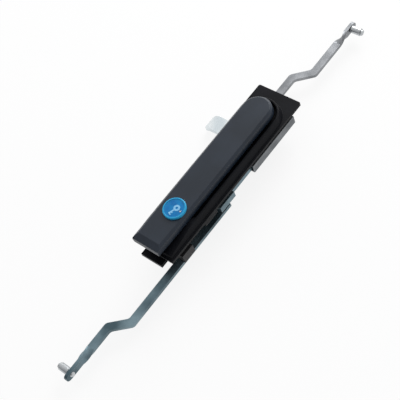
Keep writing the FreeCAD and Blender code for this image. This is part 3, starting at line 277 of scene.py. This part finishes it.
blackCast = coated("blackCast", dict(
    dark=(0.0025, 0.003, 0.0045), light=(0.005, 0.0055, 0.008), bare=(0.06, 0.062, 0.066), wearAndHighlight=0.5,
    shine=0.11, rough=(0.38, 0.48), grainScale=2200.0, patchScale=60.0, grainShare=0.75, scuffScale=700.0,
    depth=0.00003, edge=0.0004,
))
# the body's black paint made lighter and bluer for the handle: a lit copy, painted sheen on its face
litHandleCast = coated("litHandleCast", dict(
    dark=(0.006, 0.012, 0.022), light=(0.009, 0.017, 0.031), bare=(0.10, 0.115, 0.135), wearAndHighlight=0.55, shine=0.42,
    rough=(0.33, 0.41), grainScale=2600.0, patchScale=45.0, grainShare=0.8, scuffScale=600.0,
    depth=0.00002, edge=0.0005,
))
rubber = coated("rubber", dict(
    dark=(0.008, 0.008, 0.008), light=(0.014, 0.014, 0.014), bare=(0.03, 0.03, 0.03), wearAndHighlight=0.3, shine=0.25,
    rough=(0.7, 0.82), grainScale=3200.0, patchScale=150.0, grainShare=0.8, scuffScale=900.0,
    depth=0.00004, edge=0.0003,
))
blackPlastic = coated("blackPlastic", dict(
    dark=(0.012, 0.012, 0.013), light=(0.018, 0.018, 0.02), bare=(0.05, 0.05, 0.05), wearAndHighlight=0.3, shine=0.4,
    rough=(0.48, 0.58), grainScale=4200.0, patchScale=90.0, grainShare=0.85, scuffScale=800.0,
    depth=0.00003, edge=0.0003,
))
zincPlate = plated("zincPlate", dict(
    metal=0.75, dark=(0.11, 0.12, 0.13), light=(0.20, 0.213, 0.225), bare=(0.50, 0.53, 0.55), edgeShine=0.6,
    rough=(0.30, 0.44), grainScale=1800.0, patchScale=70.0, grainShare=0.5, streakScale=2600.0,
    stretch=(1.0, 1.0, 0.04), depth=0.000012, edge=0.00035,
))
blueZinc = plated("blueZinc", dict(
    metal=0.75, dark=(0.06, 0.10, 0.12), light=(0.20, 0.285, 0.325), bare=(0.42, 0.47, 0.49), edgeShine=0.6,
    rough=(0.30, 0.44), grainScale=1800.0, patchScale=38.0, grainShare=0.5, streakScale=2600.0,
    stretch=(1.0, 1.0, 0.04), depth=0.000012, edge=0.00035,
))
# the zinc plating made brighter for the upper rod: a lit copy, painted light
litGreyZinc = plated("litGreyZinc", dict(
    metal=0.85, dark=(0.16, 0.168, 0.178), light=(0.29, 0.30, 0.315), bare=(0.60, 0.61, 0.62), edgeShine=0.5,
    rough=(0.28, 0.42), grainScale=1800.0, patchScale=60.0, grainShare=0.5, streakScale=2600.0,
    stretch=(1.0, 1.0, 0.04), depth=0.000012, edge=0.00035,
))
# the latch's zinc made nearly white: painted reflection on its facets
reflectionWhiteZinc = plated("reflectionWhiteZinc", dict(
    metal=0.95, dark=(0.62, 0.68, 0.71), light=(0.80, 0.84, 0.85), bare=(0.90, 0.92, 0.93), edgeShine=0.6,
    rough=(0.20, 0.30), grainScale=1800.0, patchScale=90.0, grainShare=0.5, streakScale=2600.0,
    stretch=(0.04, 1.0, 1.0), depth=0.00001, edge=0.00035,
))
brightSteel = plated("brightSteel", dict(
    metal=1.0, dark=(0.40, 0.42, 0.44), light=(0.55, 0.57, 0.58), bare=(0.75, 0.76, 0.77), edgeShine=0.5,
    rough=(0.18, 0.30), grainScale=2600.0, patchScale=120.0, grainShare=0.5, streakScale=4200.0,
    stretch=(0.05, 1.0, 1.0), depth=0.000006, edge=0.00025,
))
brass = plated("brass", dict(
    metal=1.0, dark=(0.58, 0.40, 0.15), light=(0.72, 0.52, 0.23), bare=(0.9, 0.75, 0.45), edgeShine=0.4,
    rough=(0.22, 0.34), grainScale=2400.0, patchScale=110.0, grainShare=0.5, streakScale=3000.0,
    stretch=(1.0, 0.05, 1.0), depth=0.000008, edge=0.00025,
))


def makeCapPlastic(name, centre, look):
    # glossy moulded plastic, with a painted highlight making it paler and greener towards the raised edge
    material, tree, shader, place = newMaterial(
        name, Specular_IOR_Level=look["shine"], Coat_Weight=look["coat"], Coat_Roughness=look["coatRough"],
    )
    away = tree.nodes.new("ShaderNodeVectorMath")
    away.operation = "SUBTRACT"
    join(tree, place, away.inputs[0])
    away.inputs[1].default_value = centre
    flat = tree.nodes.new("ShaderNodeVectorMath")
    flat.operation = "MULTIPLY"
    join(tree, away.outputs[0], flat.inputs[0])
    flat.inputs[1].default_value = (1, 0, 1)
    length = tree.nodes.new("ShaderNodeVectorMath")
    length.operation = "LENGTH"
    join(tree, flat.outputs[0], length.inputs[0])
    # painted highlight ring on the cap's raised edge
    ring = spread(tree, length.outputs["Value"], look["highlightFrom"], look["highlightTo"], 0.0, 1.0)
    grain = grainFor(tree, place, look)
    edges = useGroup(tree, edgeGroup, Radius=look["edge"])
    swirl = mixColour(tree, cloudy(tree, grain.outputs["Tone"]), look["deep"], look["blue"])
    join(tree, mixColour(tree, ring, swirl, look["rim"]), shader.inputs["Base Color"])
    rough = spread(tree, grain.outputs["Tone"], *noiseWide, *look["rough"])
    join(tree, rough, shader.inputs["Roughness"])
    addBump(tree, shader, grain.outputs["Height"], edges.outputs["Normal"], look["depth"])
    return material


capLow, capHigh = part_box("dust_cap")
capCentre = (capLow + capHigh) / 2
capRadius = (capHigh.z - capLow.z) / 2
# rim is the colour of the painted highlight on the cap's raised edge
capPlastic = makeCapPlastic("capPlastic", capCentre, dict(
    deep=(0.001, 0.14, 0.40), blue=(0.001, 0.21, 0.50), rim=(0.020, 0.33, 0.60), rough=(0.24, 0.34),
    highlightFrom=capRadius * 0.78, highlightTo=capRadius * 0.90, shine=0.22, coat=0.06, coatRough=0.10,
    grainScale=3000.0, patchScale=220.0, grainShare=0.5, edge=0.0004, depth=0.00001,
))
print("materials made")

finishes = {
    blackCast: ["base_pan", "clamp_bracket", "spindle"],
    litHandleCast: ["handle"],
    rubber: ["door_seal", "spindle_seal"],
    blackPlastic: ["rod_guide"],
    capPlastic: ["dust_cap"],
    brass: ["spindle_bush"],
    reflectionWhiteZinc: ["cam_latch"],
    blueZinc: ["lower_rod", "lower_rack", "lower_rod_screw"],
    litGreyZinc: ["upper_rod", "upper_rod_screw"],
    brightSteel: [
        "lock_barrel", "lock_plug", "cap_pin", "handle_pin", "handle_spring", "pinion", "lower_roller",
        "upper_roller", "lower_roller_pin", "upper_roller_pin",
    ],
}
dressed = {node: material for material, names in finishes.items() for node in names}
for node, cadPiece in nodes.items():
    cadPiece.data.materials.clear()
    cadPiece.data.materials.append(dressed.get(node, zincPlate))
print("pieces dressed")


# Meshes

def meshObject(name, mesh, material):
    thing = bpy.data.objects.new(name, mesh)
    bpy.context.scene.collection.objects.link(thing)
    if material is not None:
        mesh.materials.clear()
        mesh.materials.append(material)
    return thing


pictogram = dict(  # faceDepth is how far the cap's face lies behind its raised edge
    bow=2.6, hole=1.0, neckHalf=0.65, reach=7.0, toothDepth=1.3, toothWidth=0.9, shortTooth=0.7,
    lean=22.0, middle=(1.7, 1.0), rise=0.16, sunk=0.05, faceDepth=0.35, bowSteps=40, holeSteps=24,
    colour=(0.25, 0.55, 0.80), shade=(0.16, 0.45, 0.74), shine=0.5, patchScale=900.0, rough=(0.3, 0.42),
)


def around(radius, angle):
    return radius * math.cos(angle), radius * math.sin(angle)


def makePictogram(look):
    # outline of a plain key seen flat: bow, stem and two teeth, drawn pointing down
    start = math.asin(look["neckHalf"] / look["bow"])
    steps, holeSteps = look["bowSteps"], look["holeSteps"]
    sweep = 2 * math.pi - 2 * start
    outline = [
        around(look["bow"], -math.pi / 2 + start + sweep * step / steps) for step in range(steps + 1)
    ]
    left, right = -look["neckHalf"], look["neckHalf"]
    end = -look["reach"]
    tooth, wide = look["toothDepth"], look["toothWidth"]
    short = look["shortTooth"] * tooth
    outline += [
        (left, end), (right + tooth, end), (right + tooth, end + wide), (right, end + wide),
        (right, end + 2 * wide), (right + short, end + 2 * wide),
        (right + short, end + 3 * wide), (right, end + 3 * wide),
    ]
    hole = [around(look["hole"], 2 * math.pi * k / holeSteps) for k in range(holeSteps)]
    lean = math.radians(look["lean"])
    face = capLow.y + look["faceDepth"] * mm
    shape = bmesh.new()
    edges = []
    for loop in (outline, hole):
        ring = []
        for x, z in loop:
            turnedX = x * math.cos(lean) + z * math.sin(lean)
            turnedZ = z * math.cos(lean) - x * math.sin(lean)
            ring.append(shape.verts.new((
                capCentre.x + (look["middle"][0] + turnedX) * mm,
                face + look["sunk"] * mm,
                capCentre.z + (look["middle"][1] + turnedZ) * mm,
            )))
        edges += [shape.edges.new((ring[k], ring[(k + 1) % len(ring)])) for k in range(len(ring))]
    bmesh.ops.triangle_fill(shape, use_beauty=True, use_dissolve=False, edges=edges)
    made = bmesh.ops.extrude_face_region(shape, geom=shape.faces[:])
    rise = Vector((0, -(look["rise"] + look["sunk"]) * mm, 0))
    raised = [v for v in made["geom"] if isinstance(v, bmesh.types.BMVert)]
    bmesh.ops.translate(shape, vec=rise, verts=raised)
    bmesh.ops.recalc_face_normals(shape, faces=shape.faces[:])
    mesh = bpy.data.meshes.new("keyPictogram")
    shape.to_mesh(mesh)
    shape.free()
    return mesh


def makePrint(name, look):
    material, tree, shader, place = newMaterial(name, Specular_IOR_Level=look["shine"])
    tone = cloudy(tree, noise(tree, place, look["patchScale"], 3))
    join(tree, mixColour(tree, tone, look["shade"], look["colour"]), shader.inputs["Base Color"])
    join(tree, spread(tree, tone, 0.0, 1.0, *look["rough"]), shader.inputs["Roughness"])
    return material


keyPictogram = meshObject("keyPictogram", makePictogram(pictogram), makePrint("palePrint", pictogram))
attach(keyPictogram, "dust_cap")
print("pictogram made")


# Screws with socket heads, one Geometry Nodes tree for all sizes

screwForm = dict(  # shares are of the screw's own head, shank or pitch
    headSides=48, shankSides=32, socketSides=6, turnSteps=20, ridgeSides=4, threadShare=0.85,
    threadFrom=0.95, chamfer=0.35, shankShare=0.94, socketWide=0.52, socketDeep=0.55,
    ridgeShare=0.07, ridgeLeast=0.06,
)


def makeScrewTree(form):
    tree = bpy.data.node_groups.new("socketScrews", "GeometryNodeTree")
    face = tree.interface
    face.new_socket("Geometry", in_out="INPUT", socket_type="NodeSocketGeometry")
    for title in (
        "Head Radius", "Head Height", "Chamfer", "Shank Radius", "Shank Length", "Socket Radius",
        "Socket Depth", "Thread Pitch", "Thread Height",
    ):
        face.new_socket(title, in_out="INPUT", socket_type="NodeSocketFloat")
    face.new_socket("Finish", in_out="INPUT", socket_type="NodeSocketMaterial")
    face.new_socket("Geometry", in_out="OUTPUT", socket_type="NodeSocketGeometry")
    given = tree.nodes.new("NodeGroupInput").outputs
    result = tree.nodes.new("NodeGroupOutput")

    def node(kind, **inputs):
        made = tree.nodes.new(kind)
        for title, value in inputs.items():
            feed(tree, made.inputs[title.replace("_", " ")], value)
        return made

    def times(value, factor):
        return mathNode(tree, "MULTIPLY", value, factor)

    def lifted(mesh, height):
        place = tree.nodes.new("ShaderNodeCombineXYZ")
        feed(tree, place.inputs["Z"], height)
        moved = node("GeometryNodeTransform", Geometry=mesh)
        join(tree, place.outputs[0], moved.inputs["Translation"])
        return moved.outputs[0]

    straight = mathNode(tree, "SUBTRACT", given["Head Height"], given["Chamfer"])
    narrow = mathNode(tree, "SUBTRACT", given["Head Radius"], given["Chamfer"])
    head = node(
        "GeometryNodeMeshCylinder", Vertices=form["headSides"], Radius=given["Head Radius"], Depth=straight,
    )
    rim = node(
        "GeometryNodeMeshCone", Vertices=form["headSides"], Radius_Bottom=given["Head Radius"],
        Radius_Top=narrow, Depth=given["Chamfer"],
    )
    shank = node(
        "GeometryNodeMeshCylinder", Vertices=form["shankSides"], Radius=given["Shank Radius"],
        Depth=given["Shank Length"],
    )
    socket = node(
        "GeometryNodeMeshCylinder", Vertices=form["socketSides"], Radius=given["Socket Radius"],
        Depth=times(given["Socket Depth"], 2.0),
    )

    threaded = times(given["Shank Length"], form["threadShare"])
    spiral = node(
        "GeometryNodeCurveSpiral", Resolution=form["turnSteps"], Start_Radius=given["Shank Radius"],
        End_Radius=given["Shank Radius"], Height=threaded,
        Rotations=mathNode(tree, "DIVIDE", threaded, given["Thread Pitch"]),
    )
    profile = node(
        "GeometryNodeCurvePrimitiveCircle", Resolution=form["ridgeSides"], Radius=given["Thread Height"]
    )
    thread = tree.nodes.new("GeometryNodeCurveToMesh")
    join(tree, spiral.outputs[0], thread.inputs["Curve"])
    join(tree, profile.outputs[0], thread.inputs["Profile Curve"])
    thread.inputs["Fill Caps"].default_value = True

    union = tree.nodes.new("GeometryNodeMeshBoolean")
    union.operation = "UNION"
    for part in (lifted(head.outputs["Mesh"], times(straight, 0.5)), lifted(rim.outputs["Mesh"], straight)):
        join(tree, part, union.inputs["Mesh 2"])
    hollow = tree.nodes.new("GeometryNodeMeshBoolean")
    hollow.operation = "DIFFERENCE"
    join(tree, union.outputs[0], hollow.inputs["Mesh 1"])
    join(tree, lifted(socket.outputs["Mesh"], given["Head Height"]), hollow.inputs["Mesh 2"])

    whole = tree.nodes.new("GeometryNodeJoinGeometry")
    for part in (
        hollow.outputs[0], lifted(shank.outputs["Mesh"], times(given["Shank Length"], -0.5)),
        lifted(thread.outputs[0], times(given["Shank Length"], -form["threadFrom"])),
    ):
        join(tree, part, whole.inputs[0])
    points = node("GeometryNodeInstanceOnPoints")
    join(tree, given["Geometry"], points.inputs["Points"])
    join(tree, whole.outputs[0], points.inputs["Instance"])
    points.inputs["Rotation"].default_value = (-math.pi / 2, 0, 0)  # heads face away from the door
    real = node("GeometryNodeRealizeInstances", Geometry=points.outputs[0])
    finish = node("GeometryNodeSetMaterial", Geometry=real.outputs[0])
    join(tree, given["Finish"], finish.inputs["Material"])
    join(tree, finish.outputs[0], result.inputs[0])
    return tree


screwTree = makeScrewTree(screwForm)


def placeScrews(name, heads, sizes, material):
    mesh = bpy.data.meshes.new(name + "Points")
    mesh.from_pydata(heads, [], [])
    holder = meshObject(name + "Holder", mesh, None)
    modifier = holder.modifiers.new("screws", "NODES")
    modifier.node_group = screwTree
    titles = {s.name: s.identifier for s in screwTree.interface.items_tree if s.in_out == "INPUT"}
    for title, value in sizes.items():
        modifier[titles[title]] = value
    modifier[titles["Finish"]] = material
    bpy.context.view_layer.update()
    finished = bpy.data.meshes.new_from_object(holder.evaluated_get(bpy.context.evaluated_depsgraph_get()))
    holder.modifiers.clear()
    bpy.data.objects.remove(holder)
    return finished


def screwSet(name, groups, body, replaced, material):
    joined = bmesh.new()
    for heads, sizes in groups:
        part = placeScrews(name, heads, sizes, material)
        joined.from_mesh(part)
        bpy.data.meshes.remove(part)
    mesh = bpy.data.meshes.new(name)
    joined.to_mesh(mesh)
    joined.free()
    for polygon in mesh.polygons:
        polygon.use_smooth = False
    made = meshObject(name, mesh, material)
    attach(made, body)
    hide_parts(*replaced)


def screwSizes(headRadius, headHeight, shankRadius, shankLength, pitch):
    return {
        "Head Radius": headRadius * mm, "Head Height": headHeight * mm,
        "Chamfer": screwForm["chamfer"] * mm, "Shank Radius": shankRadius * screwForm["shankShare"] * mm,
        "Shank Length": shankLength * mm, "Socket Radius": headRadius * screwForm["socketWide"] * mm,
        "Socket Depth": headHeight * screwForm["socketDeep"] * mm, "Thread Pitch": pitch * mm,
        "Thread Height": (screwForm["ridgeShare"] * pitch + screwForm["ridgeLeast"]) * mm,
    }


housingScrews = dict(
    caseHead=3.6, caseHeight=2.2, caseRadius=2.0, casePitch=0.7,
    clampHead=4.2, clampHeight=3.0, clampRadius=2.5, clampPitch=0.8,
    guideHead=2.9, guideHeight=1.8, guideRadius=1.5, guidePitch=0.5,
)


def makeHousingScrews(look):
    caseLow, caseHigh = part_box("case_screws")
    clampLow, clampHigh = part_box("clamp_screw")
    guideLow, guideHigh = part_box("guide_screw")
    caseSeat = caseHigh.y - look["caseHeight"] * mm
    clampSeat = clampHigh.y - look["clampHeight"] * mm
    guideSeat = guideHigh.y - look["guideHeight"] * mm
    middle = (caseLow.x + caseHigh.x) / 2
    reach = look["caseHead"] * mm

    def group(name, heads, length):
        sizes = (look[name + title] for title in ("Head", "Height", "Radius"))
        return heads, screwSizes(*sizes, length / mm, look[name + "Pitch"])

    groups = [
        group("case", [(middle, caseSeat, caseHigh.z - reach), (middle, caseSeat, caseLow.z + reach)],
              caseSeat - caseLow.y),
        group("clamp", [((clampLow.x + clampHigh.x) / 2, clampSeat, (clampLow.z + clampHigh.z) / 2)],
              clampSeat - clampLow.y),
        group("guide", [((guideLow.x + guideHigh.x) / 2, guideSeat, (guideLow.z + guideHigh.z) / 2)],
              guideSeat - guideLow.y),
    ]
    replaced = ["case_screws", "clamp_screw", "guide_screw"]
    screwSet("housingScrews", groups, "housing", replaced, zincPlate)


makeHousingScrews(housingScrews)
print("screws made")


# Table, light and camera

studio = dict(
    tableGap=0.0004, tableHalf=3.0, tableColour=(0.90, 0.90, 0.90), tableTint=(0.91, 0.91, 0.915),
    tablePatches=6.0, tableGlow=0.85,
    brightTowards=(-0.55, -0.25, 0.80), greyFrom=-0.35, whiteFrom=0.75, lowGrey=(0.42, 0.42, 0.43),
    highWhite=(1.0, 1.0, 1.0),
    keyPower=9.0, keySize=0.8, keyAway=1.2, keyTowards=(-0.20, -0.48, 0.85),
    fillPower=0.8, fillSize=1.2, fillAway=1.4, fillTowards=(0.75, -0.55, 0.25),
)
photoView = dict(
    azimuth=31.9, elevation=-17.25, roll=39.13, distance=0.700, lookAt=(3.05, 0.0, -79.6),
    focalPixels=949.0, photoPixels=400.0, sensorWidth=36.0, nearest=0.01, farthest=20.0,
)


def makeTable(look):
    level = cadBox[1].y + look["tableGap"]
    half = look["tableHalf"]
    mesh = bpy.data.meshes.new("table")
    corners = [(-half, level, -half), (half, level, -half), (half, level, half), (-half, level, half)]
    mesh.from_pydata(corners, [], [(0, 1, 2, 3)])
    material, tree, shader, place = newMaterial("paleTable", Specular_IOR_Level=0.0, Roughness=0.9)
    patches = noise(tree, place, look["tablePatches"], 2)
    join(tree, mixColour(tree, patches, look["tableColour"], look["tableTint"]), shader.inputs["Base Color"])
    # the camera and reflections see the table mostly white, with a part of its real shade and shadow
    path = tree.nodes.new("ShaderNodeLightPath")
    watched = mathNode(tree, "MAXIMUM", path.outputs["Is Camera Ray"], path.outputs["Is Glossy Ray"])
    watched = mathNode(tree, "MAXIMUM", watched, path.outputs["Is Transmission Ray"])
    glow = tree.nodes.new("ShaderNodeEmission")
    whitened = tree.nodes.new("ShaderNodeMixShader")
    join(tree, mathNode(tree, "MULTIPLY", watched, look["tableGlow"]), whitened.inputs[0])
    join(tree, shader.outputs[0], whitened.inputs[1])
    join(tree, glow.outputs[0], whitened.inputs[2])
    # seen from behind the table lets the lock's back show
    clear = tree.nodes.new("ShaderNodeBsdfTransparent")
    sides = tree.nodes.new("ShaderNodeNewGeometry")
    either = tree.nodes.new("ShaderNodeMixShader")
    join(tree, sides.outputs["Backfacing"], either.inputs[0])
    join(tree, whitened.outputs[0], either.inputs[1])
    join(tree, clear.outputs[0], either.inputs[2])
    output = [n for n in tree.nodes if n.type == "OUTPUT_MATERIAL"][0]
    join(tree, either.outputs[0], output.inputs["Surface"])
    table = meshObject("table", mesh, material)


def makeLamp(name, power, size, away, towards):
    lamp = bpy.data.lights.new(name, "AREA")
    lamp.shape = "DISK"
    lamp.size = size
    lamp.energy = power
    holder = bpy.data.objects.new(name, lamp)
    bpy.context.scene.collection.objects.link(holder)
    way = Vector(towards).normalized()
    centre = (Vector(cadBox[0]) + Vector(cadBox[1])) / 2
    holder.location = centre + way * away
    holder.rotation_euler = way.to_track_quat("Z", "Y").to_euler()


def makeWorld(look):
    # a studio that is white overhead and to the left, and greyer low on the right
    world = bpy.data.worlds.new("paleStudio")
    bpy.context.scene.world = world
    world.use_nodes = True
    tree = world.node_tree
    tree.nodes.clear()
    towards = tree.nodes.new("ShaderNodeVectorMath")
    towards.operation = "DOT_PRODUCT"
    join(tree, tree.nodes.new("ShaderNodeTexCoord").outputs["Generated"], towards.inputs[0])
    towards.inputs[1].default_value = Vector(look["brightTowards"]).normalized()
    level = spread(tree, towards.outputs["Value"], look["greyFrom"], look["whiteFrom"], 0.0, 1.0)
    light = tree.nodes.new("ShaderNodeBackground")
    join(tree, mixColour(tree, level, look["lowGrey"], look["highWhite"]), light.inputs["Color"])
    output = tree.nodes.new("ShaderNodeOutputWorld")
    join(tree, light.outputs[0], output.inputs["Surface"])


def makeCamera(view):
    azimuth, elevation, roll = (math.radians(view[k]) for k in ("azimuth", "elevation", "roll"))
    back = Vector((
        math.sin(azimuth) * math.cos(elevation), -math.cos(azimuth) * math.cos(elevation), math.sin(elevation)
    ))
    right = Vector((math.cos(azimuth), math.sin(azimuth), 0))
    up = back.cross(right)
    tiltedRight = right * math.cos(roll) + up * math.sin(roll)
    tiltedUp = up * math.cos(roll) - right * math.sin(roll)
    lens = bpy.data.cameras.new("photoCamera")
    lens.sensor_width = view["sensorWidth"]
    lens.lens = view["focalPixels"] / view["photoPixels"] * view["sensorWidth"]
    lens.clip_start, lens.clip_end = view["nearest"], view["farthest"]
    camera = bpy.data.objects.new("photoCamera", lens)
    bpy.context.scene.collection.objects.link(camera)
    turned = Matrix((tiltedRight, tiltedUp, back)).transposed().to_4x4()
    turned.translation = Vector(view["lookAt"]) * mm + back * view["distance"]
    camera.matrix_world = turned
    bpy.context.scene.camera = camera


makeTable(studio)
makeLamp("keyLamp", studio["keyPower"], studio["keySize"], studio["keyAway"], studio["keyTowards"])
makeLamp("fillLamp", studio["fillPower"], studio["fillSize"], studio["fillAway"], studio["fillTowards"])
makeWorld(studio)
makeCamera(photoView)
bpy.context.scene.view_settings.view_transform = "Standard"
print("studio ready")
